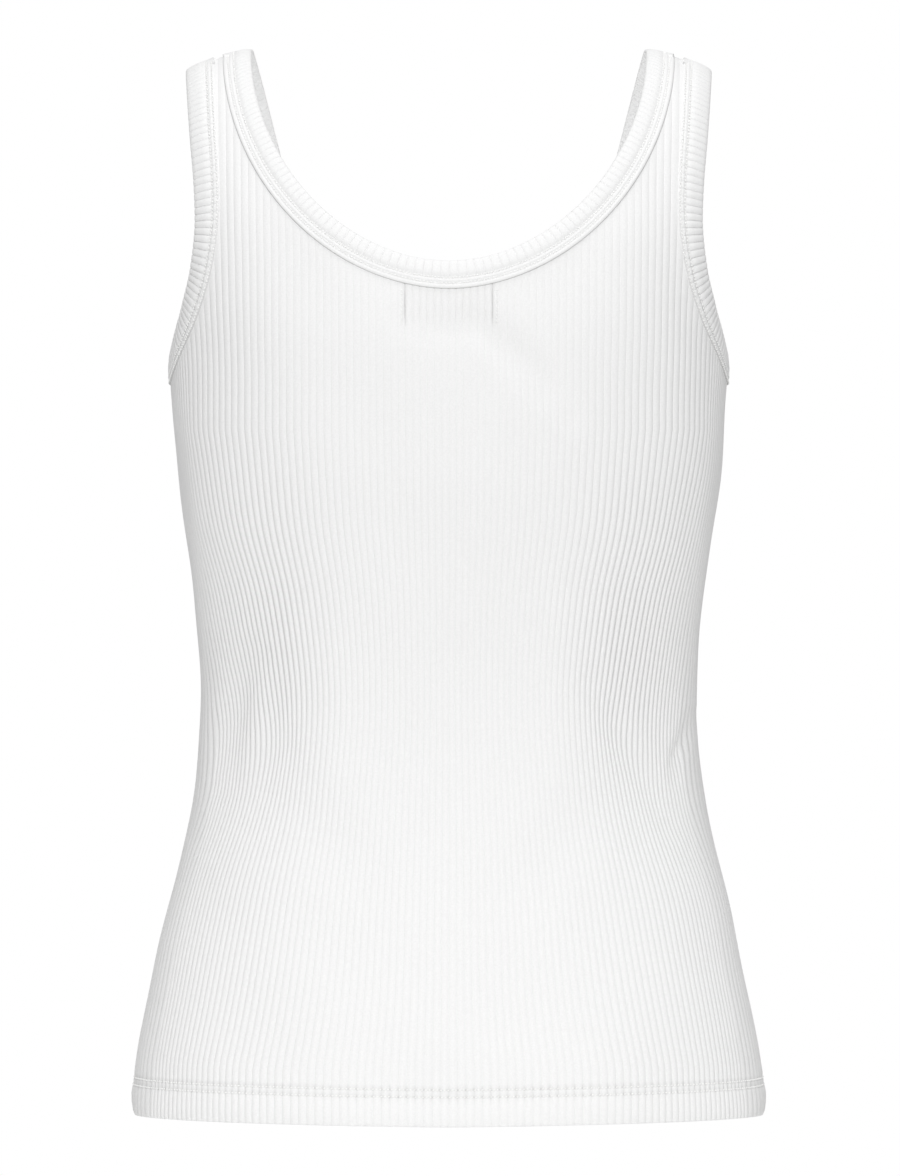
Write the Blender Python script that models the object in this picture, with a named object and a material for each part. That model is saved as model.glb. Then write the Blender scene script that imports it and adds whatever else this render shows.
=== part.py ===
"""A rib-knit tank top, hollow and filled out as it is worn.

It has two panels, front and back, and three rings of folded rib that bind the
neck and the armholes. Metres, +Z up. The front faces -Y and the back faces +Y.
The origin is midway between the tops of the two straps.
"""
from collections import namedtuple
from math import asin, copysign, cos, pi, sin

import bmesh
import bpy
from mathutils import Vector

# Cloth
CLOTH = 0.0012          # one layer of rib knit
HEM_LAYERS = 2          # the hem is turned up inside the panel
HEM_DEPTH = 0.024
SEAM_GAP = 0.0003       # between pieces that are sewn together

# The general figure that fills the cloth: level sections from the shoulders down.
# Above the underarm the half width is the figure's own, wider than the cloth.
Section = namedtuple("Section", "height half_width back_depth front_depth")
SECTIONS = (
    Section(0.000, 0.1880, 0.100, 0.100),
    Section(-0.090, 0.1735, 0.107, 0.112),
    Section(-0.155, 0.1600, 0.109, 0.121),
    Section(-0.187, 0.1575, 0.108, 0.123),
    Section(-0.243, 0.1531, 0.103, 0.121),
    Section(-0.311, 0.1438, 0.092, 0.110),
    Section(-0.368, 0.1404, 0.085, 0.101),
    Section(-0.425, 0.1453, 0.087, 0.101),
    Section(-0.492, 0.1607, 0.096, 0.106),
    Section(-0.560, 0.1749, 0.103, 0.110),
    Section(-0.604, 0.1810, 0.105, 0.111),
)
ROUNDNESS = 2.3         # of a section: 2 is an ellipse, and more is squarer
HEM = -0.6035            # at the centre line
HEM_RISE = 0.0022        # the side seams end this much higher
UNDERARM = -0.190       # the top of the side seams

# Over the shoulder each side bends forward from its own crest.
CREST = {"back": -0.170, "front": -0.240}
STRAP_PEAK = 0.1150     # out from the centre, where the shoulder line is at height 0
SHOULDER_FALL = 1.20    # how fast it falls outside the peak

# The neck seams are superellipses, flared out at the shoulders so that the straps lean in.
Neck = namedtuple("Neck", "half_width depth roundness flare")
NECK = {"back": Neck(0.1272, 0.1384, 1.94, 0.0), "front": Neck(0.1187, 0.1600, 2.15, 0.0085)}
FLARE_DEPTH = 0.060     # below the shoulders

# The back armhole seam from the shoulder to the side seam, as a share of the half width
Armhole = namedtuple("Armhole", "height share")
ARMHOLE = (
    Armhole(0.0000, 0.708),
    Armhole(-0.0460, 0.720),
    Armhole(-0.0770, 0.729),
    Armhole(-0.1030, 0.751),
    Armhole(-0.1310, 0.808),
    Armhole(-0.1530, 0.876),
    Armhole(-0.1715, 0.942),
    Armhole(UNDERARM, 1.000),
)
FRONT_ARMHOLE_INSET = 0.03    # the front is cut in by this share more, halfway down

# A folded binding: its outline in section, as shares of its width and metres out from the cloth
NECK_BINDING = 0.0155   # width
ARMHOLE_BINDING = 0.0170
ROLL = 6.0              # a binding turns in by this much times the square of the way across it
Rim = namedtuple("Rim", "across out")
RIMS = (
    Rim(0.00, 0.0004),
    Rim(0.07, 0.0009),
    Rim(0.50, 0.0010),
    Rim(0.93, 0.0008),
    Rim(1.00, -0.0001),
    Rim(1.00, -0.0011),
    Rim(0.93, -0.0020),
    Rim(0.50, -0.0020),
    Rim(0.07, -0.0020),
    Rim(0.00, -0.0015),
)

# Soft creases: a trough between two points of a panel. out is to the wearer's left.
Crease = namedtuple("Crease", "side out height end_out end_height reach depth")
CREASES = (
    Crease("back", 0.109, -0.340, 0.121, -0.415, 0.013, 0.0030),
    Crease("back", -0.082, -0.360, -0.122, -0.435, 0.014, 0.0030),
    Crease("front", 0.100, -0.345, 0.117, -0.410, 0.014, 0.0028),
    Crease("front", -0.096, -0.350, -0.118, -0.420, 0.014, 0.0028),
)

# Facets
COLUMNS = 13            # across half a panel
NECK_ROWS = 14          # from the shoulder seam down to the underarm
BODY_ROWS = 15          # from there to the hem
ROW_LEVEL_OFF = 2.0     # rows run level into the armhole, so that they stay below its seam
TURN_WEIGHT = 0.04      # how much a turn of the cloth draws a seam's stations together

WHITE = (0.83, 0.825, 0.815, 1.0)
BINDING_WHITE = (0.80, 0.795, 0.785, 1.0)


def read(rows, column, height):
    """A column of a table at a height, on a smooth curve through its rows."""
    rows = sorted(rows)
    height = min(max(height, rows[0].height), rows[-1].height)
    low = max(i for i, row in enumerate(rows[:-1]) if row.height <= height)

    def value(i):
        return getattr(rows[i], column)

    def slope(i):
        before, after = max(i - 1, 0), min(i + 1, len(rows) - 1)
        return (value(after) - value(before)) / (rows[after].height - rows[before].height)

    step = rows[low + 1].height - rows[low].height
    t = (height - rows[low].height) / step
    return (value(low) * (1 + 2 * t) * (1 - t) ** 2 + value(low + 1) * t * t * (3 - 2 * t)
            + step * (slope(low) * t * (1 - t) ** 2 - slope(low + 1) * t * t * (1 - t)))


def power(value, exponent):
    return copysign(abs(value) ** exponent, value)


def shoulder_line(out):
    """Height of the top of the shoulder, out from the centre."""
    return SHOULDER_FALL * (STRAP_PEAK ** 2 - out ** 2)


def form(side, turn, climb):
    """A point of the smooth form. turn runs from 0 at the centre line to pi / 2 at the side.

    climb is the height below the side's crest, and above it the way over the shoulder.
    """
    crest = CREST[side]
    bend = max(climb - crest, 0.0) / -crest
    level = min(climb, crest) - crest * sin(bend)
    out = read(SECTIONS, "half_width", level) * power(sin(turn), 2 / ROUNDNESS)
    depth = read(SECTIONS, side + "_depth", level) * power(cos(turn), 2 / ROUNDNESS) * cos(bend)
    return Vector((out, depth if side == "back" else -depth, level + shoulder_line(out) * sin(bend)))


def climb_to(side, out, height):
    """The climb of the point of the form that is this far out, at this height."""
    crest = CREST[side]
    if height <= crest:
        return height
    return crest - crest * asin(min((height - crest) / (shoulder_line(out) - crest), 1.0))


def half_width(side, climb):
    crest = CREST[side]
    bend = max(climb - crest, 0.0) / -crest
    return read(SECTIONS, "half_width", min(climb, crest) - crest * sin(bend))


def outward(side, turn, climb):
    """The direction that leaves the cloth's outer face."""
    nudge = 0.001
    across = form(side, turn + nudge, climb) - form(side, turn - nudge, climb)
    up = form(side, turn, climb + nudge) - form(side, turn, climb - nudge)
    face = across.cross(up) if side == "front" else up.cross(across)
    return face.normalized()


def neck_seam(side, t):
    """Where the neck seam is, from t = 0 at the shoulder to t = 1 at the centre line."""
    neck = NECK[side]
    angle = t * t * pi / 2
    height = -neck.depth * power(sin(angle), 2 / neck.roundness)
    out = neck.half_width * power(cos(angle), 2 / neck.roundness)
    out += neck.flare * max(1 + height / FLARE_DEPTH, 0.0) ** 2
    climb = climb_to(side, out, height)
    return asin((out / half_width(side, climb)) ** (ROUNDNESS / 2)), climb


def armhole_seam(side, t):
    """Where the armhole seam is, from t = 0 at the shoulder to t = 1 at the side seam."""
    down = sin(t * pi / 2) ** 2
    share = read(ARMHOLE, "share", UNDERARM * down)
    if side == "front":
        share -= FRONT_ARMHOLE_INSET * sin(pi * down) ** 2
    out = share * read(SECTIONS, "half_width", UNDERARM * down)
    return asin(min(share, 1.0) ** (ROUNDNESS / 2)), climb_to(side, out, UNDERARM * down)


def spaced(side, seam, count):
    """count + 1 places along a seam, closer together where the cloth turns."""
    fine = 400
    places = [seam(side, i / fine) for i in range(fine + 1)]
    places[0] = (places[0][0], CREST[side] * (1 - pi / 2))
    faces = [(form(side, *place), outward(side, *place)) for place in places]
    run = [0.0]
    for (a, face_a), (b, face_b) in zip(faces, faces[1:]):
        run.append(run[-1] + (b - a).length + TURN_WEIGHT * (face_b - face_a).length)

    def nearest(length):
        return min(range(fine + 1), key=lambda i: abs(run[i] - length))

    return [places[nearest(run[-1] * k / count)] for k in range(count + 1)]


def mixed(a, b, share, level_off=1.0):
    """A place between two others. A level_off over 1 makes the climb reach b's sooner."""
    return a[0] + (b[0] - a[0]) * share, b[1] + (a[1] - b[1]) * (1 - share) ** level_off


def crease_depth(side, point):
    """How far the creases sink the cloth at a point."""
    sunk = 0.0
    for crease in CREASES:
        if crease.side != side:
            continue
        start = Vector((crease.out, crease.height))
        line = Vector((crease.end_out, crease.end_height)) - start
        offset = Vector((point.x, point.z)) - start
        along = min(max(offset.dot(line) / line.length_squared, 0.0), 1.0)
        away = (offset - line * along).length / crease.reach
        if away < 1:
            sunk += crease.depth * (1 - away * away) ** 2
    return sunk


def hem_layers(height):
    return HEM_LAYERS if height < HEM + HEM_DEPTH else 1


def panel_places(side):
    """Rows of places from the neck seam and centre line out to the armhole and side seams."""
    inner = spaced(side, neck_seam, NECK_ROWS)
    outer = spaced(side, armhole_seam, NECK_ROWS)
    for i in range(1, BODY_ROWS + 1):
        inner.append(mixed(inner[NECK_ROWS], (0.0, HEM), i / BODY_ROWS))
        outer.append(mixed(outer[NECK_ROWS], (pi / 2, HEM + HEM_RISE), i / BODY_ROWS))
    shares = [k / COLUMNS for k in range(COLUMNS + 1)]
    return [[mixed(a, b, share, ROW_LEVEL_OFF) for share in shares] for a, b in zip(inner, outer)]


def add_object(name, bm, colour, collection):
    mesh = bpy.data.meshes.new(name)
    bm.to_mesh(mesh)
    bm.free()
    mesh.shade_smooth()
    mesh.set_sharp_from_angle(angle=pi / 4)
    finish = bpy.data.materials.new(name)
    finish.use_nodes = True
    shader = finish.node_tree.nodes["Principled BSDF"]
    shader.inputs["Base Color"].default_value = colour
    shader.inputs["Roughness"].default_value = 0.9
    shader.inputs["Metallic"].default_value = 0.0
    mesh.materials.append(finish)
    collection.objects.link(bpy.data.objects.new(name, mesh))


def panel(name, side, collection):
    """A panel: a sheet laid on the form, given its wall towards the inside."""
    places = panel_places(side)
    rows = len(places) - 1
    half_gap = Vector((0, SEAM_GAP / 2 if side == "back" else -SEAM_GAP / 2, 0))
    bm = bmesh.new()
    row_of = bm.verts.layers.int.new("row")
    column_of = bm.verts.layers.int.new("column")
    hand_of = bm.verts.layers.int.new("hand")

    def settle(vert, inside):
        place = places[vert[row_of]][vert[column_of]]
        point = form(side, *place)
        hand = vert[hand_of]
        mirror = Vector((hand, 1, 1))
        sunk = crease_depth(side, point * mirror)
        if inside:
            sunk += CLOTH * hem_layers(point.z)
        vert.co = (point - outward(side, *place) * sunk) * mirror + half_gap

    for hand in (1, -1):
        grid = bmesh.ops.create_grid(bm, x_segments=COLUMNS, y_segments=rows, size=0.5)["verts"]
        for vert in grid:
            vert[column_of] = round((vert.co.x + 0.5) * COLUMNS)
            vert[row_of] = round((vert.co.y + 0.5) * rows)
            vert[hand_of] = hand
            settle(vert, False)
    bmesh.ops.remove_doubles(bm, verts=bm.verts, dist=1e-6)
    wall = bmesh.ops.extrude_face_region(bm, geom=bm.faces[:], use_keep_orig=True)["geom"]
    for vert in wall:
        if isinstance(vert, bmesh.types.BMVert):
            settle(vert, True)
    bmesh.ops.recalc_face_normals(bm, faces=bm.faces)
    add_object(name, bm, WHITE, collection)


def binding(name, seam, halves, width, collection):
    """A ring of folded rib round a seam. Its stations are those of the panels' edges.

    halves lists (side, hand, backwards) for each run of the seam, in order round the ring.
    """
    stations = []
    for side, hand, backwards in halves:
        places = spaced(side, seam, NECK_ROWS)
        places = places[::-1] if backwards else places
        for place in places[:-1]:
            mirror = Vector((hand, 1, 1))
            stations.append((form(side, *place) * mirror, outward(side, *place) * mirror))
    count = len(stations)
    bm = bmesh.new()
    grid = bmesh.ops.create_grid(bm, x_segments=count, y_segments=len(RIMS), size=0.5)["verts"]
    for vert in grid:
        k = round((vert.co.x + 0.5) * count)
        rim = RIMS[round((vert.co.y + 0.5) * len(RIMS)) % len(RIMS)]
        point, out = stations[k % count]
        ahead = stations[(k + 1) % count][0] - stations[(k - 1) % count][0]
        across = ahead.cross(out).normalized()
        reach = SEAM_GAP + rim.across * width
        vert.co = point + across * reach + out * (rim.out - ROLL * reach ** 2)
    bmesh.ops.remove_doubles(bm, verts=bm.verts, dist=1e-6)
    bmesh.ops.recalc_face_normals(bm, faces=bm.faces)
    add_object(name, bm, BINDING_WHITE, collection)


def main():
    for old in list(bpy.data.objects):
        bpy.data.objects.remove(old)
    collection = bpy.data.collections.new("tank_top")
    bpy.context.scene.collection.children.link(collection)
    panel("back_panel", "back", collection)
    panel("front_panel", "front", collection)
    binding("neck_binding", neck_seam,
            (("front", 1, False), ("front", -1, True), ("back", -1, False), ("back", 1, True)),
            NECK_BINDING, collection)
    binding("left_armhole_binding", armhole_seam,
            (("back", 1, False), ("front", 1, True)), ARMHOLE_BINDING, collection)
    binding("right_armhole_binding", armhole_seam,
            (("front", -1, False), ("back", -1, True)), ARMHOLE_BINDING, collection)


main()
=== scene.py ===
"""The looks of a rib-knit tank top, hollow and filled out as it is worn.

The two panels are sheets of vertical ribs, one column of the mesh to each crown and flank
of a rib. The neck and the armholes are bound in folded strips whose ribs run across them,
held by twin rows of stitches, and the hem is turned up under twin rows of its own.
Metres, +Z up. The front faces -Y and the back faces +Y.
"""

from collections import namedtuple
from math import cos, pi, radians, sin

import bmesh
import bpy
import numpy as np
from mathutils import Matrix, Vector


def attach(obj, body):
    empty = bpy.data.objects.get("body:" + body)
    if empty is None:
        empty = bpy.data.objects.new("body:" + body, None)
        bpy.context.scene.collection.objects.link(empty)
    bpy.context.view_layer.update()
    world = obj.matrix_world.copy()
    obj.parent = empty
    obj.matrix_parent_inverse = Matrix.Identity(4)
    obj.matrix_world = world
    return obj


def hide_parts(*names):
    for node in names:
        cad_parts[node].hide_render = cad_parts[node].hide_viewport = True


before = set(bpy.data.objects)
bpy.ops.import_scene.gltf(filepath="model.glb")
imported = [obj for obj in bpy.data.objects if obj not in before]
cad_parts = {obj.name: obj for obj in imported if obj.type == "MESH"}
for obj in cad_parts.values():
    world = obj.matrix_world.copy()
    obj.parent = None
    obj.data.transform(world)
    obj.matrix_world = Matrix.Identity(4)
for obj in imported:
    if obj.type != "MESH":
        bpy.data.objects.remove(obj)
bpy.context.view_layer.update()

MM = 0.001

# Cloth, as the solids have it
CLOTH = 1.2 * MM
HEM_DEPTH = 24 * MM
SEAM_GAP = 0.3 * MM

# The general figure that fills the cloth: level sections from the shoulders down
Section = namedtuple("Section", "height half_width back_depth front_depth")
SECTIONS = (
    Section(0.000, 0.1880, 0.100, 0.100),
    Section(-0.090, 0.1735, 0.107, 0.112),
    Section(-0.155, 0.1600, 0.109, 0.121),
    Section(-0.187, 0.1575, 0.108, 0.123),
    Section(-0.243, 0.1531, 0.103, 0.121),
    Section(-0.311, 0.1438, 0.092, 0.110),
    Section(-0.368, 0.1404, 0.085, 0.101),
    Section(-0.425, 0.1453, 0.087, 0.101),
    Section(-0.492, 0.1607, 0.096, 0.106),
    Section(-0.560, 0.1749, 0.103, 0.110),
    Section(-0.604, 0.1810, 0.105, 0.111),
)
ROUNDNESS = 2.3
HEM = -0.6035
HEM_RISE = 0.0022
UNDERARM = -0.190
CREST = {"back": -0.170, "front": -0.240}
STRAP_PEAK = 0.1150
SHOULDER_FALL = 1.20
Neck = namedtuple("Neck", "half_width depth roundness flare")
NECK = {"back": Neck(0.1272, 0.1384, 1.94, 0.0), "front": Neck(0.1187, 0.1600, 2.15, 0.0085)}
FLARE_DEPTH = 0.060
Armhole = namedtuple("Armhole", "height share")
ARMHOLE = (
    Armhole(0.0000, 0.708),
    Armhole(-0.0460, 0.720),
    Armhole(-0.0770, 0.729),
    Armhole(-0.1030, 0.751),
    Armhole(-0.1310, 0.808),
    Armhole(-0.1530, 0.876),
    Armhole(-0.1715, 0.942),
    Armhole(UNDERARM, 1.000),
)
FRONT_ARMHOLE_INSET = 0.03
NECK_BAND = 15.5 * MM
ARMHOLE_BAND = 17.0 * MM
ROLL = 6.0              # how a binding curls in past its seam, per metre
FINE = 600              # steps along each seam

# Ribs. Across half a panel, millimetres between ribs as the eye meets them square on,
# at the centre line and at shares of the half width.
RIBS = 51
SHARES = (0.0, 0.50, 0.75, 0.87, 0.93)
Ribs = namedtuple("Ribs", "height centre half three_quarters near_side side")
RIB_SPACING = (
    Ribs(-0.2165, 4.0, 4.2, 3.9, 3.1, 2.4),
    Ribs(-0.2665, 3.9, 4.0, 3.4, 2.6, 2.1),
    Ribs(-0.3109, 3.6, 3.6, 2.9, 2.4, 1.9),
    Ribs(-0.3664, 3.5, 3.2, 2.7, 2.1, 1.8),
    Ribs(-0.4219, 3.8, 3.3, 2.4, 2.1, 1.7),
    Ribs(-0.4774, 4.1, 3.8, 3.1, 2.4, 1.8),
    Ribs(-0.5329, 4.3, 4.3, 3.3, 2.4, 1.7),
    Ribs(-0.5718, 4.7, 4.6, 3.3, 2.4, 1.8),
)
RIB_DEPTH = 0.50 * MM
PAINTED_GROOVE_SHADE = 0.17     # painted shade: how much darker a groove a millimetre deep is, as a share of a seam's painted ditch shade
DEEP_PAINTED_SHADE = 0.40       # and how much more so for each millimetre past the first 0.6
RIBBED_WAIST = -0.34    # where the ribs beside the waist are deepest
BUST_SIDE = -0.250      # where the ribs at the sides are drawn flat
# One rib, from groove to groove: how far sunk where the cloth hangs slack, and where it is drawn
Profile = namedtuple("Profile", "across slack drawn")
RIB_PROFILE = (Profile(0.00, 1.0, 1.0), Profile(0.15, 0.49, 0.18), Profile(0.50, 0.0, 0.0),
               Profile(0.85, 0.49, 0.18))
RIB_SPREAD = 0.10       # share by which the ribs draw apart for each metre above the underarm
BESIDE = 12             # the higher, the fewer ribs follow the side there
ROW = 5.5 * MM          # between rows of the panel's mesh
TUCK = 5.5 * MM         # a panel's edge reaches this far into its binding
FOLD_FADE = 12 * MM     # folds and waves fade out this near a binding
RIB_FADE = 3 * MM       # ribs grow shallower this near one
HELD_RIBS = 0.4         # down to this share of their depth
SIDE_DITCH = 1.0 * MM   # how far the side seams are sunk

# The turned-up hem: how deep each part of its shape is sunk, and over what reach
Dip = namedtuple("Dip", "depth reach")
HEM_EDGE = Dip(0.55 * MM, 2.2 * MM)
HEM_DIP = Dip(0.55 * MM, 1.4 * MM)      # under each row of stitches
HEM_CURL = Dip(4.0 * MM, 14 * MM)       # at the corners
HEM_PUFF = 0.35 * MM
HEM_FOLD = 1.1 * MM     # how much thinner the wall is at its very edge
RISE_FADE = 0.1         # the hem's rise at the sides is lost this far up
SEWN_PAINTED_SHADE = 0.45       # painted shade: how dark the ticks between the hem's stitches are, deepest in the grooves
SEWN_REACH = 1.2 * MM

# Soft folds: troughs, and ridges where the depth is below zero, along curves on a panel
Fold = namedtuple("Fold", "side route reach depth")
FOLDS = (
    Fold("back", ((0.1105, -0.340), (0.1185, -0.366), (0.1250, -0.388), (0.1275, -0.416)),
         13 * MM, 3.0 * MM),
    Fold("back", ((0.1040, -0.352), (0.1075, -0.378), (0.1100, -0.408)), 11 * MM, -1.4 * MM),
    Fold("back", ((0.0880, -0.382), (0.0890, -0.392), (0.0885, -0.402)), 7 * MM, 0.9 * MM),
    Fold("back", ((-0.0800, -0.356), (-0.0940, -0.385), (-0.1065, -0.406), (-0.1250, -0.438)),
         11 * MM, 2.4 * MM),
    Fold("back", ((-0.1375, -0.376), (-0.1332, -0.388), (-0.1282, -0.400), (-0.1270, -0.412)),
         6 * MM, 2.4 * MM),
    Fold("back", ((0.0280, -0.158), (0.0050, -0.161), (-0.0200, -0.162), (-0.0400, -0.176)),
         9 * MM, 1.7 * MM),
    Fold("back", ((-0.0150, -0.156), (-0.0330, -0.172), (-0.0500, -0.188), (-0.0660, -0.208)),
         14 * MM, 3.4 * MM),
    Fold("back", ((0.0930, -0.412), (0.0620, -0.450), (0.0280, -0.490)), 26 * MM, 1.4 * MM),
    Fold("back", ((-0.0850, -0.416), (-0.0560, -0.456), (-0.0180, -0.490)), 26 * MM, 1.4 * MM),
    Fold("front", ((0.0800, -0.420), (0.0560, -0.454), (0.0250, -0.486)), 26 * MM, 1.3 * MM),
    Fold("front", ((0.0980, -0.342), (0.1080, -0.370), (0.1180, -0.412)), 9 * MM, 2.8 * MM),
    Fold("front", ((-0.0900, -0.350), (-0.1050, -0.380), (-0.1200, -0.424)), 10 * MM, 2.8 * MM),
    Fold("front", ((-0.1330, -0.372), (-0.1290, -0.392), (-0.1270, -0.408)), 7 * MM, 2.0 * MM),
)

# Where the ribs bulge towards the centre line beside a fold, by this many ribs at most
Sway = namedtuple("Sway", "side hand rib up ribs")
SWAYS = (
    Sway("back", 1, 32.0, -0.394, -1.2),
    Sway("back", -1, 30.0, -0.388, -0.9),
    Sway("front", 1, 28.0, -0.380, -0.7),
    Sway("front", -1, 30.0, -0.388, -0.9),
)
SWAY_REACH = (4.5, 0.026)       # ribs across, metres up

# Twin rows of stitches
STITCH = 1.4 * MM
STITCH_PITCH = 2.1 * MM
THREAD = 0.45 * MM      # half its thickness
NECK_ROWS = (2.5 * MM, 5.6 * MM)          # up from the seam
ARMHOLE_ROWS = (0.9 * MM, 4.1 * MM)
HEM_ROWS = (16.6 * MM, 20.6 * MM)         # up from the hem's edge
# A label inside the back is held by an upright row of stitches at each end.
Label = namedtuple("Label", "left right top foot")
LABEL = Label(0.0260, -0.0266, -0.1375, -0.1570)
LABEL_SEAM = 2.6 * MM   # how wide the drawn-in cloth is inside each row
LABEL_PITCH = 2.2 * MM  # between the stitches of a row

# Long shallow waves of the cloth, at most this deep
WAVE = 0.9 * MM


def read(rows, column, height):
    """A column of a table at some heights, on a smooth curve through its rows."""
    rows = sorted(rows)
    at, value = (np.array([getattr(row, name) for row in rows]) for name in ("height", column))
    height = np.clip(height, at[0], at[-1])
    low = np.clip(np.searchsorted(at, height, side="right") - 1, 0, len(at) - 2)
    places = np.arange(len(at))
    before, after = np.maximum(places - 1, 0), np.minimum(places + 1, len(at) - 1)
    slope = (value[after] - value[before]) / (at[after] - at[before])
    step = at[low + 1] - at[low]
    t = (height - at[low]) / step
    return (value[low] * (1 + 2 * t) * (1 - t) ** 2 + value[low + 1] * t * t * (3 - 2 * t)
            + step * (slope[low] * t * (1 - t) ** 2 - slope[low + 1] * t * t * (1 - t)))


def power(value, exponent):
    return np.sign(value) * np.abs(value) ** exponent


def shoulder_line(out):
    return SHOULDER_FALL * (STRAP_PEAK ** 2 - out ** 2)


def bend_and_level(side, climb):
    """How far the form has bent over the shoulder, and the height of the section it takes."""
    crest = CREST[side]
    bend = np.maximum(climb - crest, 0.0) / -crest
    return bend, np.minimum(climb, crest) - crest * np.sin(bend)


def half_width(side, climb):
    return read(SECTIONS, "half_width", bend_and_level(side, climb)[1])


def form(side, turn, climb):
    """Points of the smooth form. turn runs from 0 at the centre line to pi / 2 at the side."""
    turn, climb = np.broadcast_arrays(np.asarray(turn, float), np.asarray(climb, float))
    bend, level = bend_and_level(side, climb)
    out = half_width(side, climb) * power(np.sin(turn), 2 / ROUNDNESS)
    depth = read(SECTIONS, side + "_depth", level) * power(np.cos(turn), 2 / ROUNDNESS) * np.cos(bend)
    height = level + shoulder_line(out) * np.sin(bend)
    return np.stack((out, depth if side == "back" else -depth, height), -1)


def unit(vectors):
    return vectors / np.linalg.norm(vectors, axis=-1, keepdims=True)


def outward(side, turn, climb):
    """The directions that leave the cloth's outer face."""
    nudge = 0.001
    across = form(side, turn + nudge, climb) - form(side, turn - nudge, climb)
    up = form(side, turn, climb + nudge) - form(side, turn, climb - nudge)
    return unit(np.cross(across, up) if side == "front" else np.cross(up, across))


def laid(side, turn, climb, hand):
    """Points of the form and the directions that leave it, mirrored where hand is -1."""
    points, outs = form(side, turn, climb), outward(side, turn, climb)
    points[..., 0] *= hand
    outs[..., 0] *= hand
    return points, outs


def side_rise(turn):
    """How much higher the hem runs here than at the centre line."""
    return HEM_RISE * (1 - (1 - turn / (pi / 2)) ** 2)


def climb_to(side, out, height):
    """The climb of the points of the form that are this far out, at this height."""
    crest = CREST[side]
    share = np.minimum((height - crest) / (shoulder_line(out) - crest), 1.0)
    return np.where(height <= crest, height, crest - crest * np.arcsin(np.maximum(share, 0.0)))


def neck_line(side, t):
    """How far out and how high the neck seam is, from t = 0 at the shoulder to 1 at the centre."""
    neck = NECK[side]
    angle = t * t * pi / 2
    height = -neck.depth * power(np.sin(angle), 2 / neck.roundness)
    out = neck.half_width * power(np.cos(angle), 2 / neck.roundness)
    return out + neck.flare * np.maximum(1 + height / FLARE_DEPTH, 0.0) ** 2, height


def armhole_line(side, t):
    """The same for the armhole seam, from the shoulder to the side seam."""
    down = np.sin(t * pi / 2) ** 2
    share = read(ARMHOLE, "share", UNDERARM * down)
    if side == "front":
        share = share - FRONT_ARMHOLE_INSET * np.sin(pi * down) ** 2
    return share * read(SECTIONS, "half_width", UNDERARM * down), UNDERARM * down


def on_form(side, out, height):
    """The turn and climb of points given by how far out and how high they are."""
    climb = climb_to(side, out, height)
    return np.arcsin(np.clip(out / half_width(side, climb), 0, 1) ** (ROUNDNESS / 2)), climb


def seam_places(side, line):
    out, height = line(side, np.linspace(0, 1, FINE + 1))
    turn, climb = on_form(side, out, height)
    climb[0] = CREST[side] * (1 - pi / 2)
    return turn, climb


# Panels

def rib_turns(height):
    """The turn of each rib's place across a level section, as a table to read ribs against."""
    last = SHARES[-1]
    share = np.linspace(0, last, 94)
    spacings = [read(RIB_SPACING, name, height) for name in Ribs._fields[1:]]
    spacing = np.interp(share, SHARES, spacings) * MM
    density = read(SECTIONS, "half_width", height) / spacing
    count = np.concatenate(([0], np.cumsum((density[1:] + density[:-1]) / 2 * np.diff(share))))
    turn = np.arcsin(share ** (ROUNDNESS / 2))
    return np.append(count, RIBS), np.append(turn, pi / 2)


def rib_places(side, ribs, climb):
    """The turn of each rib at one climb. Above the underarm the ribs run straight up, all but
    the ones nearest the side, which follow it."""
    numbers = np.abs(ribs)
    for sway in (sway for sway in SWAYS if sway.side == side):
        across, up = (numbers - sway.rib) / SWAY_REACH[0], (climb - sway.up) / SWAY_REACH[1]
        near = np.exp(-across ** 2 - up ** 2)
        numbers = numbers + sway.ribs * near * (ribs * sway.hand > 0)
    turn = np.interp(numbers, *rib_turns(min(climb, UNDERARM)))
    if climb > UNDERARM:
        share = np.sin(turn) ** (2 / ROUNDNESS)
        straight = share * read(SECTIONS, "half_width", UNDERARM) * (1 + RIB_SPREAD * (climb - UNDERARM))
        beside = share ** BESIDE
        out = straight * (1 - beside) + share * half_width(side, climb) * beside
        turn = np.arcsin(np.clip(out / half_width(side, climb), 0, 1) ** (ROUNDNESS / 2))
    return turn


def curve_through(points, count=60):
    """A smooth run of points through a few, evenly spread between them."""
    points = np.array(points, float)
    at = np.linspace(0, len(points) - 1, count)
    Stop = namedtuple("Stop", "height out up")
    stops = [Stop(i, *point) for i, point in enumerate(points)]
    return np.stack((read(stops, "out", at), read(stops, "up", at)), -1)


def fold_depth(side, points):
    """How far the folds sink the cloth at each point."""
    sunk = np.zeros(points.shape[:-1])
    flat = points[..., (0, 2)]
    for fold in (fold for fold in FOLDS if fold.side == side):
        line = curve_through(fold.route)
        gap = np.full(sunk.shape, np.inf)
        along = np.zeros(sunk.shape)
        for i, place in enumerate(line):
            away = np.linalg.norm(flat - place, axis=-1)
            nearer = away < gap
            gap[nearer], along[nearer] = away[nearer], i / (len(line) - 1)
        fade = np.sin(pi * np.clip(along, 0.08, 0.92)) ** 0.7
        sunk += fold.depth * fade * np.maximum(1 - (gap / fold.reach) ** 2, 0) ** 2
    return sunk


def wave_depth(points):
    """How far the cloth's long waves sink it at each point."""
    out, up = points[..., 0], points[..., 2]
    return WAVE * (0.5 * np.sin(2 * pi * (out / 0.130 + up / 0.210) + 0.9)
                   + 0.3 * np.sin(2 * pi * (out / 0.074 - up / 0.160) + 2.1)
                   + 0.2 * np.sin(2 * pi * (out / 0.190 - up / 0.061) + 4.0))


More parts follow.
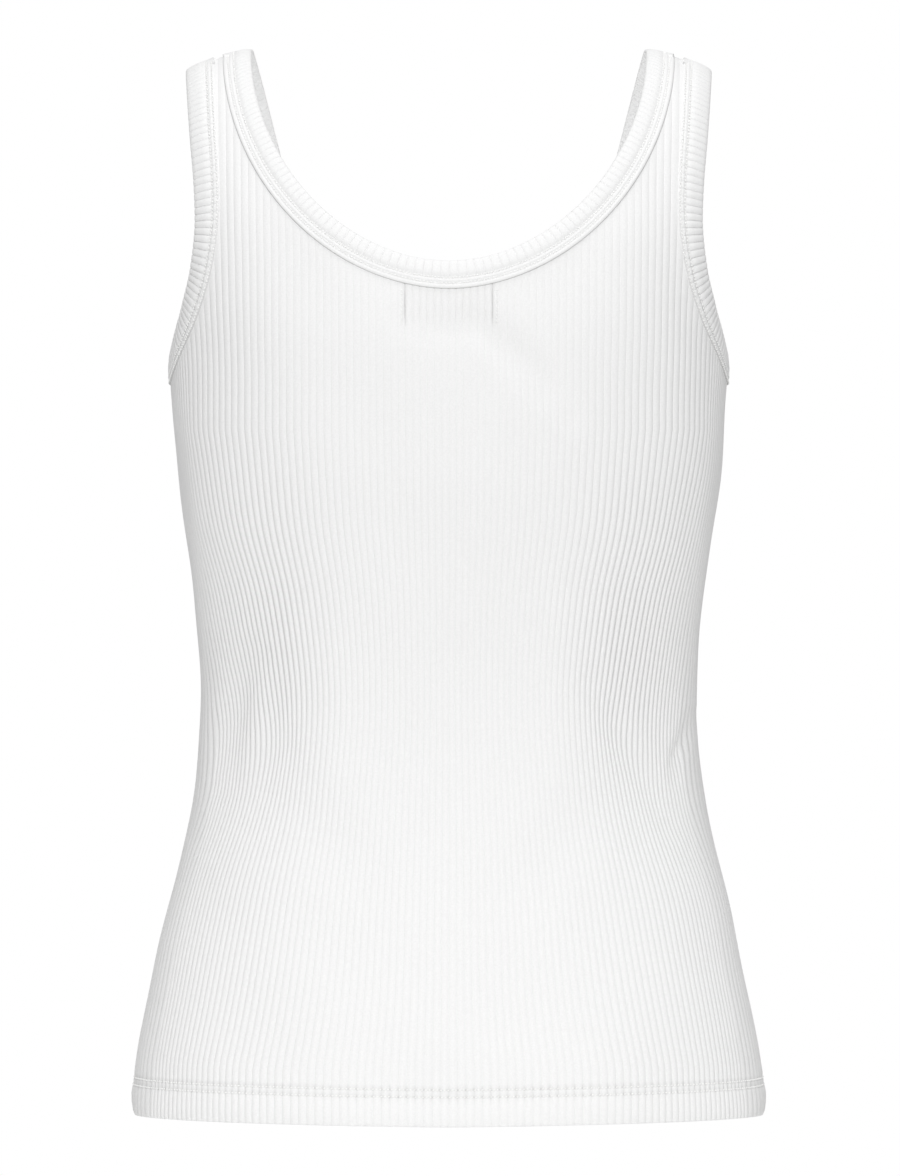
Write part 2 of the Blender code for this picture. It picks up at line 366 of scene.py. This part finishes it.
def past_seam(side, points):
    """How far each point is beyond the neck or armhole seam, or less than zero within the panel."""
    out, height = np.abs(points[..., 0]), points[..., 2]
    t = np.linspace(0, 1, 300)
    beyond = np.full(out.shape, -1.0)
    for line, inner in ((neck_line, True), (armhole_line, False)):
        seam_out, seam_height = line(side, t)
        turn, climb = on_form(side, seam_out, seam_height)
        seam = form(side, turn, climb)
        near = np.full(out.shape, np.inf)
        mirrored = points.copy()
        mirrored[..., 0] = out
        for place in seam:
            np.minimum(near, np.linalg.norm(mirrored - place, axis=-1), out=near)
        edge = np.interp(height, seam_height[::-1], seam_out[::-1])
        crossed = (out < edge) if inner else (out > edge)
        crossed &= height > seam_height[-1]
        beyond = np.where(crossed, near, np.where(beyond > 0, beyond, np.maximum(beyond, -near)))
    return beyond


def panel_rows(side):
    """The climbs of the mesh's rows: fine at the hem's edge and its stitches, then even."""
    rows = [HEM, HEM + 0.7 * MM, HEM + 2.2 * MM, HEM + 7 * MM, HEM + 12 * MM]
    for row in HEM_ROWS:
        rows += [HEM + row - 0.9 * MM, HEM + row, HEM + row + 0.9 * MM]
    rows += [HEM + HEM_DEPTH - 0.4 * MM, HEM + HEM_DEPTH + 0.4 * MM]
    top = CREST[side] * (1 - pi / 2)
    start = rows[-1] + ROW
    return np.array(rows + list(np.linspace(start, top, round((top - start) / ROW) + 1)))


def rib_columns():
    """Rib numbers of the mesh's columns, counted from the centre line, and how far each is sunk."""
    places = [(i + p.across, p.slack, p.drawn) for i in range(-RIBS, RIBS) for p in RIB_PROFILE]
    return np.array(places + [(RIBS, 1.0, 1.0)]).T


def hem_shape(climb, turn):
    """How far the outer face is sunk at the hem: a rolled edge, dips under the two rows of
    stitches, a puff between edge and stitches, and corners that curl in at the side seams."""
    up = climb - HEM - side_rise(turn)
    edge = HEM_EDGE.depth * np.maximum(1 - up / HEM_EDGE.reach, 0) ** 2
    rows = sum(HEM_DIP.depth * np.maximum(1 - np.abs(up - row) / HEM_DIP.reach, 0) for row in HEM_ROWS)
    puff = HEM_PUFF * np.maximum(1 - (up / HEM_ROWS[0] * 2 - 1) ** 2, 0)
    corner = np.clip(turn / (pi / 2) * 3 - 2, 0, 1) ** 2
    curl = HEM_CURL.depth * np.maximum(1 - up / HEM_CURL.reach, 0) ** 2 * corner
    return edge + rows - puff + curl


def rib_depth(side, points, turn, slack, drawn):
    """How far each point is sunk into the grooves between ribs.

    The ribs are drawn nearly flat across the shoulders and at the sides of the bust. They stand
    out most beside the waist, and over the label."""
    out, up = points[..., 0], points[..., 2]
    share = np.sin(turn) ** (2 / ROUNDNESS)
    high = np.clip((up + 0.26) / 0.08, 0, 1)
    across = drawn * (0.40 + 0.60 * np.clip((share - 0.55) / 0.25, 0, 1))
    aside = np.clip((share - 0.40) / 0.25, 0, 1)
    at_waist = np.exp(-((up - RIBBED_WAIST) / 0.09) ** 2)
    below = slack * (0.90 + 0.35 * aside + 1.50 * aside * at_waist)
    sides = np.clip((share - 0.90) / 0.06, 0, 1) * np.exp(-((up - BUST_SIDE) / 0.045) ** 2)
    depth = (high * across + (1 - high) * below) * (1 - 0.85 * sides)
    if side == "back":
        over = (out < LABEL.left) & (out > LABEL.right) & (up > LABEL.foot)
        depth = np.where(over, 1.2 * drawn, depth)
        sewn = over & (np.abs(out) > LABEL.left - LABEL_SEAM)
        depth = np.where(sewn, 2.4 * drawn, depth)
    return RIB_DEPTH * depth


# Shade painted into the grooves between ribs, darker the deeper they are.
def painted_groove_shade(depth):
    return PAINTED_GROOVE_SHADE * depth / MM + DEEP_PAINTED_SHADE * np.maximum(depth / MM - 0.6, 0)


def panel(name, side, finish):
    """A panel: a grid of ribs laid on the form, trimmed inside its bindings, with its inner face."""
    ribs, slack, drawn = rib_columns()
    rows = panel_rows(side)
    hand = np.where(ribs < 0, -1.0, 1.0)
    turn = np.stack([rib_places(side, ribs, climb) for climb in rows])
    rise = side_rise(turn)
    climb = rows[:, None] + rise * np.clip(1 - (rows[:, None] - HEM) / RISE_FADE, 0, 1)
    points, out = laid(side, turn, climb, hand)
    beyond = past_seam(side, points)
    within = np.clip(-beyond / FOLD_FADE, 0, 1)
    held = HELD_RIBS + (1 - HELD_RIBS) * np.clip(-beyond / RIB_FADE, 0, 1)
    grooves = rib_depth(side, points, turn, slack, drawn) * held
    inset = grooves + (fold_depth(side, points) + wave_depth(points)) * within + hem_shape(climb, turn)
    inset += ROLL * np.maximum(beyond, 0) ** 2
    inset += SIDE_DITCH * np.clip(1 - (RIBS - np.abs(ribs)) / 0.5, 0, 1)
    wall = CLOTH * np.where(climb < HEM + HEM_DEPTH, 2, 1)
    wall[0] -= HEM_FOLD
    outer = points - out * inset[..., None]
    outer[..., 1] += SEAM_GAP / 2 if side == "back" else -SEAM_GAP / 2
    inner = outer - out * wall[..., None]
    sewn = sum(np.maximum(1 - np.abs(climb - HEM - rise - row) / SEWN_REACH, 0) for row in HEM_ROWS)
    # Painted shade in the grooves, and in ticks along the hem's rows of stitches.
    dark = painted_groove_shade(grooves) + SEWN_PAINTED_SHADE * sewn * (0.15 + 0.85 * slack)

    bm = bmesh.new()
    knit = bm.verts.layers.float_vector.new("knit")
    inward = bm.verts.layers.float_vector.new("inward")
    across, up = len(ribs) - 1, len(rows) - 1
    bmesh.ops.create_grid(bm, x_segments=across, y_segments=up, size=0.5)
    lost = set()
    for vert in bm.verts:
        i, k = round((vert.co.y + 0.5) * up), round((vert.co.x + 0.5) * across)
        vert[knit] = (ribs[k], rows[i] / MM, min(dark[i, k], 1))
        vert[inward] = inner[i, k] - outer[i, k]
        vert.co = outer[i, k]
        if beyond[i, k] > TUCK:
            lost.add(vert)
    cut = [face for face in bm.faces if all(vert in lost for vert in face.verts)]
    bmesh.ops.delete(bm, geom=cut, context="FACES")
    made = bmesh.ops.extrude_face_region(bm, geom=bm.faces[:], use_keep_orig=True)["geom"]
    for vert in made:
        if isinstance(vert, bmesh.types.BMVert):
            vert.co += vert[inward]
    bmesh.ops.recalc_face_normals(bm, faces=bm.faces)
    crease_grooves(bm, knit)
    bm.verts.layers.float_vector.remove(inward)
    return add_piece(name, bm, finish)


def crease_grooves(bm, knit):
    """Marks the edges that run along the grooves between ribs as sharp."""
    for edge in bm.edges:
        rib, other = (vert[knit].x for vert in edge.verts)
        if rib == other and rib == round(rib):
            edge.smooth = False


def add_piece(name, bm, finish):
    for face in bm.faces:
        face.smooth = True
    mesh = bpy.data.meshes.new(name)
    bm.to_mesh(mesh)
    bm.free()
    mesh.materials.append(finish)
    piece = bpy.data.objects.new(name, mesh)
    bpy.context.scene.collection.objects.link(piece)
    return piece


# Bindings

class Ring:
    """A closed seam that a binding goes round: places, outward faces and ways across by length."""

    def __init__(self, line, halves):
        points, outs = [], []
        self.starts = []
        for side, hand, backwards in halves:
            run, face = laid(side, *seam_places(side, line), hand)
            step = -1 if backwards else 1
            self.starts.append(len(points))
            points += list(run[::step][:-1])
            outs += list(face[::step][:-1])
        points, outs = np.array(points), np.array(outs)
        ahead = unit(np.roll(points, -2, 0) - np.roll(points, 2, 0))
        across = unit(np.cross(ahead, outs))
        lengths = np.linalg.norm(np.roll(points, -1, 0) - points, axis=1)
        self.at = np.concatenate(([0], np.cumsum(lengths)))
        self.length = self.at[-1]
        self.columns = [np.vstack((a, a[:1])) for a in (points, outs, across, ahead)]

    def read(self, at):
        """Places, outward faces, ways across and ways ahead at lengths round the ring."""
        at = np.asarray(at) % self.length
        found = [np.stack([np.interp(at, self.at, column[:, i]) for i in range(3)], -1)
                 for column in self.columns]
        return [found[0]] + [unit(a) for a in found[1:]]

    def past_shoulders(self, at):
        """How far round the ring each place is past each shoulder, less than zero before it."""
        points = self.columns[0]
        high = [self.at[i] for i in self.starts if points[i][2] > -0.05]
        half = self.length / 2
        return np.array([(np.asarray(at) - h + half) % self.length - half for h in high])

    def from_shoulder(self, at):
        return np.abs(self.past_shoulders(at)).min(axis=0)

    def toward_shoulder(self, at):
        """1 where going ahead round the ring leads down from the nearest shoulder, or else -1."""
        past = self.past_shoulders(at)
        nearest = np.abs(past).argmin(axis=0)
        return np.sign(np.take_along_axis(past, nearest[None], 0)[0])


# A band's outline in section, in order round it: millimetres up from the seam and out from the
# panel, and how much of the cross ribs shows there. Each row of stitches lies in a dip.
Rim = namedtuple("Rim", "up out relief")
NECK_FACE = (
    Rim(0.2, -0.40, 0.0), Rim(-0.9, -0.30, 0.0), Rim(-0.6, 0.40, 0.0), Rim(-0.1, 1.05, 0.1),
    Rim(0.6, 1.25, 0.1), Rim(1.6, 1.20, 0.1), Rim(2.5, 0.35, 0.1), Rim(3.4, 1.15, 0.15),
    Rim(4.7, 1.15, 0.15), Rim(5.6, 0.35, 0.2), Rim(6.5, 1.20, 0.8), Rim(9.5, 1.35, 1.0),
)
ARMHOLE_FACE = (
    Rim(0.4, -0.70, 0.0), Rim(-0.4, -0.60, 0.0), Rim(-0.3, 0.05, 0.0), Rim(0.1, 0.50, 0.3),
    Rim(0.9, 0.10, 0.3), Rim(1.7, 0.95, 0.5), Rim(3.3, 1.00, 0.6), Rim(4.1, 0.25, 0.5),
    Rim(4.9, 1.10, 1.0), Rim(9.0, 1.35, 1.0),
)


def band_section(face, width):
    """The whole outline: the outer layer's face, the fold at the free edge and the inner layer."""
    edge = width / MM
    return face + (
        Rim(edge - 2.8, 1.20, 1.0), Rim(edge - 0.9, 0.85, 1.0), Rim(edge - 0.1, 0.20, 1.0),
        Rim(edge, -0.50, 1.0), Rim(edge - 0.3, -1.25, 1.0), Rim(edge - 1.2, -1.80, 1.0),
        Rim(edge * 0.70, -2.20, 1.0), Rim(edge * 0.35, -2.20, 0.8), Rim(0.3, -2.10, 0.3),
        Rim(-0.2, -1.80, 0.0), Rim(0.3, -1.50, 0.0), Rim(edge * 0.40, -1.45, 0.0),
        Rim(edge - 1.9, -1.10, 0.0), Rim(edge - 1.1, -0.45, 0.0), Rim(edge - 1.9, 0.15, 0.0),
        Rim(edge * 0.45, 0.20, 0.0), Rim(2.5, 0.05, 0.0),
    )


CrossRib = namedtuple("CrossRib", "across sunk")
CROSS_RIB = (CrossRib(0.0, 1.0), CrossRib(0.055, 0.50), CrossRib(0.15, 0.12), CrossRib(0.50, 0.0),
             CrossRib(0.85, 0.12), CrossRib(0.945, 0.50))


# How a band's ribs lie along its ring: the distance between them, their depth, how far each is
# pulled along at the seam, and how much shade is painted into the ditch of the seam.
Habit = namedtuple("Habit", "pitch relief drag shade")


EASED = 18 * MM         # nearer a shoulder than this, the ribs are pulled along less and less


def pull(ring, at, reach, most):
    """How far cross ribs are pulled along at the seam: most just past the shoulder, none at reach."""
    away = ring.from_shoulder(at)
    eased = most * ring.toward_shoulder(at) * np.clip(1 - away / reach, 0, 1)
    return eased * np.clip(away / EASED, 0, 1)


def neck_habit(ring):
    return Habit(lambda at: (3.0 + 2.3 * np.clip(ring.from_shoulder(at) / 0.20, 0, 1)) * MM,
                 lambda at: (0.35 + 0.15 * np.clip(ring.from_shoulder(at) / 0.20, 0, 1)) * MM,
                 lambda at: pull(ring, at, 0.110, 11.0 * MM),
                 lambda at: 0.40 + 0.30 * np.clip(ring.from_shoulder(at) / 0.08, 0, 1))


def armhole_habit(ring):
    return Habit(lambda at: (3.3 + 1.3 * np.clip(ring.from_shoulder(at) / 0.09, 0, 1)) * MM,
                 lambda at: (0.28 + 0.57 * np.clip(ring.from_shoulder(at) / 0.15, 0, 1)) * MM,
                 lambda at: pull(ring, at, 0.070, -3.0 * MM),
                 lambda at: 0.50 * np.clip(ring.from_shoulder(at) / 0.10 - 1, 0, 1))


def rib_stations(ring, pitch):
    """Lengths round the ring of each column of the band's mesh, with rib numbers and how far sunk."""
    fine = np.linspace(0, ring.length, 2000)
    count = np.concatenate(([0], np.cumsum(np.diff(fine) / ((pitch(fine[1:]) + pitch(fine[:-1])) / 2))))
    ribs = round(count[-1])
    numbers, sunk = np.array([(i + p.across, p.sunk) for i in range(ribs) for p in CROSS_RIB]).T
    return np.interp(numbers * count[-1] / ribs, count, fine), numbers, sunk


def band(name, ring, section, habit, finish):
    """A folded strip round a seam."""
    pitch, relief, drag, shade = habit
    stations, numbers, sunk = rib_stations(ring, pitch)
    count, around = len(stations), len(section)
    up, raised, share = np.array(section).T
    up, raised = up * MM, raised * MM
    reach = SEAM_GAP + up
    pulled = drag(stations)[:, None] * np.clip(1 - up / up.max(), 0, 1)[None, :] ** 1.5
    place, out, way, _ = ring.read(stations[:, None] + pulled)
    outer_face = np.where(raised > -0.6 * MM, 1, -1)
    inset = (sunk * relief(stations))[:, None] * (share * outer_face)[None, :]
    # Painted shade in the ditch of the seam, and in the grooves between the cross ribs.
    ditch = (up < 0.3 * MM) & (raised > -0.5 * MM) & (raised < 0.8 * MM)
    dark = np.maximum(shade(stations)[:, None] * ditch[None, :], painted_groove_shade(inset))
    lift = (raised - ROLL * reach ** 2)[None, :] - inset
    points = place + way * reach[None, :, None] + out * lift[..., None]
    bm = bmesh.new()
    knit = bm.verts.layers.float_vector.new("knit")
    bmesh.ops.create_grid(bm, x_segments=count, y_segments=around, size=0.5)
    for vert in bm.verts:
        k, j = round((vert.co.x + 0.5) * count) % count, round((vert.co.y + 0.5) * around) % around
        vert[knit] = (numbers[k], reach[j] / MM, dark[k, j])
        vert.co = points[k, j]
    bmesh.ops.remove_doubles(bm, verts=bm.verts, dist=1e-6)
    bmesh.ops.recalc_face_normals(bm, faces=bm.faces)
    crease_grooves(bm, knit)
    return add_piece(name, bm, finish)


# Stitches

def stitches(name, runs, finish):
    """Rows of short slanted stitches. Each run lists places, outward faces and ways ahead."""
    bm = bmesh.new()
    bmesh.ops.create_uvsphere(bm, u_segments=6, v_segments=5, radius=1.0)
    bead = bpy.data.meshes.new("bead")
    bm.to_mesh(bead)
    bm.clear()
    for places, outs, ways, slants in runs:
        for place, out, way, slant in zip(places, outs, ways, slants):
            z, x = Vector(out), Vector(way)
            y = z.cross(x).normalized()
            x = y.cross(z)
            turned = x * cos(slant) + y * sin(slant)
            side = z.cross(turned)
            axes = Matrix((turned * (STITCH / 2), side * THREAD, z * THREAD)).transposed().to_4x4()
            axes.translation = Vector(place)
            stitch = bead.copy()
            stitch.transform(axes)
            bm.from_mesh(stitch)
            bpy.data.meshes.remove(stitch)
    bpy.data.meshes.remove(bead)
    bmesh.ops.recalc_face_normals(bm, faces=bm.faces)
    return add_piece(name, bm, finish)


def ring_stitches(ring, rows, slant):
    """Runs of stitches on a band, one for each row up from its seam."""
    runs = []
    for row in rows:
        count = round(ring.length / STITCH_PITCH)
        at = np.arange(count) * ring.length / count
        place, out, way, ahead = ring.read(at)
        lift = 0.85 * MM - ROLL * (row + SEAM_GAP) ** 2
        runs.append((place + way * (row + SEAM_GAP) + out * lift, out, ahead, np.full(count, slant)))
    return runs


def hem_stitches(side):
    runs = []
    for row in HEM_ROWS:
        turn = np.linspace(-pi / 2, pi / 2, 2001)
        hand = np.where(turn < 0, -1.0, 1.0)
        turn = np.abs(turn)
        points, outs = laid(side, turn, HEM + row + side_rise(turn), hand)
        run = np.concatenate(([0], np.cumsum(np.linalg.norm(np.diff(points, axis=0), axis=1))))
        at = np.arange(STITCH_PITCH, run[-1] - STITCH_PITCH, STITCH_PITCH)
        place = np.stack([np.interp(at, run, points[:, i]) for i in range(3)], -1)
        out = unit(np.stack([np.interp(at, run, outs[:, i]) for i in range(3)], -1))
        ahead = unit(np.gradient(place, axis=0))
        place = place - out * (0.25 * MM + wave_depth(place))[:, None]
        runs.append((place, out, ahead, np.full(len(at), radians(20))))
    return runs


def label_stitches():
    runs = []
    for across in (LABEL.left, LABEL.right):
        height = np.arange(LABEL.foot, LABEL.top, LABEL_PITCH)
        turn, climb = on_form("back", np.full(len(height), abs(across)), height)
        place, out = laid("back", turn, climb, np.sign(across))
        ahead = unit(np.gradient(place, axis=0))
        place = place + out * 0.35 * MM
        runs.append((place, out, ahead, np.full(len(height), radians(35))))
    return runs


# Finishes

def linear(hex_colour):
    """An sRGB hex colour as linear RGBA."""
    parts = [int(hex_colour[i:i + 2], 16) / 255 for i in (1, 3, 5)]
    return (*((c / 12.92 if c <= 0.04045 else ((c + 0.055) / 1.055) ** 2.4) for c in parts), 1.0)


def add_node(tree, kind, inputs=None, **settings):
    """Adds a node. inputs maps a socket's name or number to a value or to another node's socket."""
    made = tree.nodes.new(kind)
    for name, value in settings.items():
        setattr(made, name, value)
    for name, value in (inputs or {}).items():
        if isinstance(value, bpy.types.NodeSocket):
            tree.links.new(value, made.inputs[name])
        else:
            made.inputs[name].default_value = value
    return made


WALES = 4               # columns of knit stitches to a rib
COURSE = 1.0            # millimetres from one row of knit stitches to the next
FUZZ = 0.9 * MM         # size of the yarn's unevenness
KNIT_LIGHT = "#F4F4F4"  # the cloth, mottled between two near whites
KNIT_SHADE = "#EFEFEF"
PAINTED_SHADE_COLOUR = "#A8A8A7"  # painted shade: the cloth down in the ditch of a seam, also mixed into grooves and the hem's ticks


def cotton_rib(name):
    """Matt combed cotton, rib knitted: no gloss, a soft bloom at grazing angles, and a fine grain."""
    finish = bpy.data.materials.new(name)
    finish.use_nodes = True
    tree = finish.node_tree
    shader = tree.nodes["Principled BSDF"]
    shader.inputs["Roughness"].default_value = 0.92
    shader.inputs["Specular IOR Level"].default_value = 0.25
    shader.inputs["Sheen Weight"].default_value = 0.12
    shader.inputs["Sheen Roughness"].default_value = 0.5
    knit = add_node(tree, "ShaderNodeAttribute", attribute_name="knit")
    parts = add_node(tree, "ShaderNodeSeparateXYZ", {0: knit.outputs["Vector"]})
    wale = add_node(tree, "ShaderNodeMath", {0: parts.outputs["X"], 1: float(WALES)},
                    operation="MULTIPLY")
    arm = add_node(tree, "ShaderNodeMath", {0: wale.outputs[0], 1: 0.5}, operation="PINGPONG")
    course = add_node(tree, "ShaderNodeMath", {0: parts.outputs["Y"], 1: COURSE}, operation="DIVIDE")
    vee = add_node(tree, "ShaderNodeMath", {0: arm.outputs[0], 1: 1.2, 2: course.outputs[0]},
                   operation="MULTIPLY_ADD")
    loops = add_node(tree, "ShaderNodeMath", {0: vee.outputs[0], 1: 0.5}, operation="PINGPONG")
    place = add_node(tree, "ShaderNodeTexCoord")
    fuzz = add_node(tree, "ShaderNodeTexNoise", {"Vector": place.outputs["Object"], "Scale": 1 / FUZZ,
                                                 "Detail": 3.0, "Roughness": 0.65})
    mass = add_node(tree, "ShaderNodeMath", {0: loops.outputs[0], 1: 0.5, 2: fuzz.outputs["Fac"]},
                    operation="MULTIPLY_ADD")
    height = add_node(tree, "ShaderNodeMath", {0: arm.outputs[0], 1: 0.4, 2: mass.outputs[0]},
                      operation="MULTIPLY_ADD")
    bump = add_node(tree, "ShaderNodeBump",
                    {"Height": height.outputs[0], "Distance": 0.07 * MM, "Strength": 1.0})
    tree.links.new(bump.outputs["Normal"], shader.inputs["Normal"])
    tone = add_node(tree, "ShaderNodeMapRange",
                    {0: fuzz.outputs["Fac"], 1: 0.35, 2: 0.65, 3: 0.0, 4: 1.0})
    colour = add_node(tree, "ShaderNodeMix",
                      {"Factor": tone.outputs[0], "A": linear(KNIT_SHADE), "B": linear(KNIT_LIGHT)},
                      data_type="RGBA")
    # Painted shade: the knit attribute's third part darkens the cloth towards a grey, in seam ditches,
    # grooves and the hem's ticks.
    seam = add_node(tree, "ShaderNodeMix",
                    {"Factor": parts.outputs["Z"], "A": colour.outputs["Result"], "B": linear(PAINTED_SHADE_COLOUR)},
                    data_type="RGBA")
    tree.links.new(seam.outputs["Result"], shader.inputs["Base Color"])
    return finish


def thread(name, colour):
    """Polyester sewing thread: a little brighter than the cotton, with a faint gloss."""
    finish = bpy.data.materials.new(name)
    finish.use_nodes = True
    shader = finish.node_tree.nodes["Principled BSDF"]
    shader.inputs["Base Color"].default_value = linear(colour)
    shader.inputs["Roughness"].default_value = 0.6
    return finish


# The room

def area_light(name, place, aim, size, watts):
    light = bpy.data.lights.new(name, "AREA")
    light.shape = "SQUARE"
    light.size = size
    light.energy = watts
    lamp = bpy.data.objects.new(name, light)
    lamp.location = place
    lamp.rotation_euler = (Vector(aim) - Vector(place)).to_track_quat("-Z", "Y").to_euler()
    bpy.context.scene.collection.objects.link(lamp)
    return lamp


FLOOR_DROP = 0.46       # from the top's middle


def room(middle):
    """Pale surroundings, a pale floor well under the hem, and soft light from both sides."""
    scene = bpy.context.scene
    world = bpy.data.worlds.new("pale_room")
    world.use_nodes = True
    tree = world.node_tree
    tree.nodes.clear()
    path = add_node(tree, "ShaderNodeLightPath")
    lit = add_node(tree, "ShaderNodeBackground", {"Color": (1, 1, 1, 1), "Strength": 0.39})
    seen = add_node(tree, "ShaderNodeBackground", {"Color": (1, 1, 1, 1), "Strength": 1.0})
    both = add_node(tree, "ShaderNodeMixShader", {0: path.outputs["Is Camera Ray"], 1: lit.outputs[0],
                                                  2: seen.outputs[0]})
    add_node(tree, "ShaderNodeOutputWorld", {"Surface": both.outputs[0]})
    scene.world = world
    scene.view_settings.view_transform = "Standard"

    bm = bmesh.new()
    bmesh.ops.create_circle(bm, cap_ends=True, segments=96, radius=1.1,
                            matrix=Matrix.Translation((0, 0, middle.z - FLOOR_DROP)))
    floor = bpy.data.materials.new("pale_floor")
    floor.use_nodes = True
    floor.node_tree.nodes["Principled BSDF"].inputs["Base Color"].default_value = linear("#F4F4F3")
    floor.node_tree.nodes["Principled BSDF"].inputs["Roughness"].default_value = 0.9
    add_piece("floor", bm, floor)
    area_light("back_softbox", (0, 3.6, 0.3), middle, 2.6, 73)
    area_light("front_softbox", (0, -3.6, 0.3), middle, 2.6, 73)
    area_light("top_softbox", (0, 0.5, 2.9), middle, 1.6, 42)
    inner = area_light("inner_fill", (0, 0, -0.22), (0, 0, 1), 0.12, 0.13)
    inner.visible_camera = False


CAMERA_DISTANCE = 5.0
VIEW_HEIGHT = 0.6656    # what the camera takes in from top to bottom, at the origin


def camera():
    data = bpy.data.cameras.new("camera")
    data.lens = data.sensor_width * CAMERA_DISTANCE / VIEW_HEIGHT
    seen = bpy.data.objects.new("camera", data)
    seen.location = (-0.0007, CAMERA_DISTANCE, -0.3045)
    seen.rotation_euler = (pi / 2, 0, pi)
    bpy.context.scene.collection.objects.link(seen)
    bpy.context.scene.camera = seen


def bind(band_knit, sewing):
    """Binds the neck and the armholes."""
    rings = {
        "neck": Ring(neck_line, (("front", 1, False), ("front", -1, True),
                                 ("back", -1, False), ("back", 1, True))),
        "left_armhole": Ring(armhole_line, (("back", 1, False), ("front", 1, True))),
        "right_armhole": Ring(armhole_line, (("front", -1, False), ("back", -1, True))),
    }
    bands = {}
    for place, ring in rings.items():
        at_neck = place == "neck"
        width, rows = (NECK_BAND, NECK_ROWS) if at_neck else (ARMHOLE_BAND, ARMHOLE_ROWS)
        section = band_section(NECK_FACE if at_neck else ARMHOLE_FACE, width)
        habit = (neck_habit if at_neck else armhole_habit)(ring)
        bands[place] = band(place + "_band", ring, section, habit, band_knit)
        sewn = stitches(place + "_stitching", ring_stitches(ring, rows, radians(25)), sewing)
        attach(bands[place], "root")
        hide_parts(place + "_binding")
        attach(sewn, "root")
    return bands


def sew_panels(cloths, sewing):
    """Sews the hems, and the label's ends on the back."""
    for side, cloth in cloths.items():
        sewn = stitches(side + "_hem_stitching", hem_stitches(side), sewing)
        on_it = [sewn]
        if side == "back":
            on_it.append(stitches("label_stitching", label_stitches(), sewing))
        for piece in on_it:
            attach(piece, "root")
        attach(cloth, "root")
        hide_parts(side + "_panel")


def main():
    panel_knit = cotton_rib("cotton_rib_knit")
    band_knit = cotton_rib("cotton_rib_binding")
    sewing = thread("polyester_thread", "#F8F8F7")
    cloths = {side: panel(side + "_panel_cloth", side, panel_knit) for side in ("back", "front")}
    bands = bind(band_knit, sewing)
    sew_panels(cloths, sewing)
    room(Vector((0, 0, HEM / 2)))
    camera()


main()
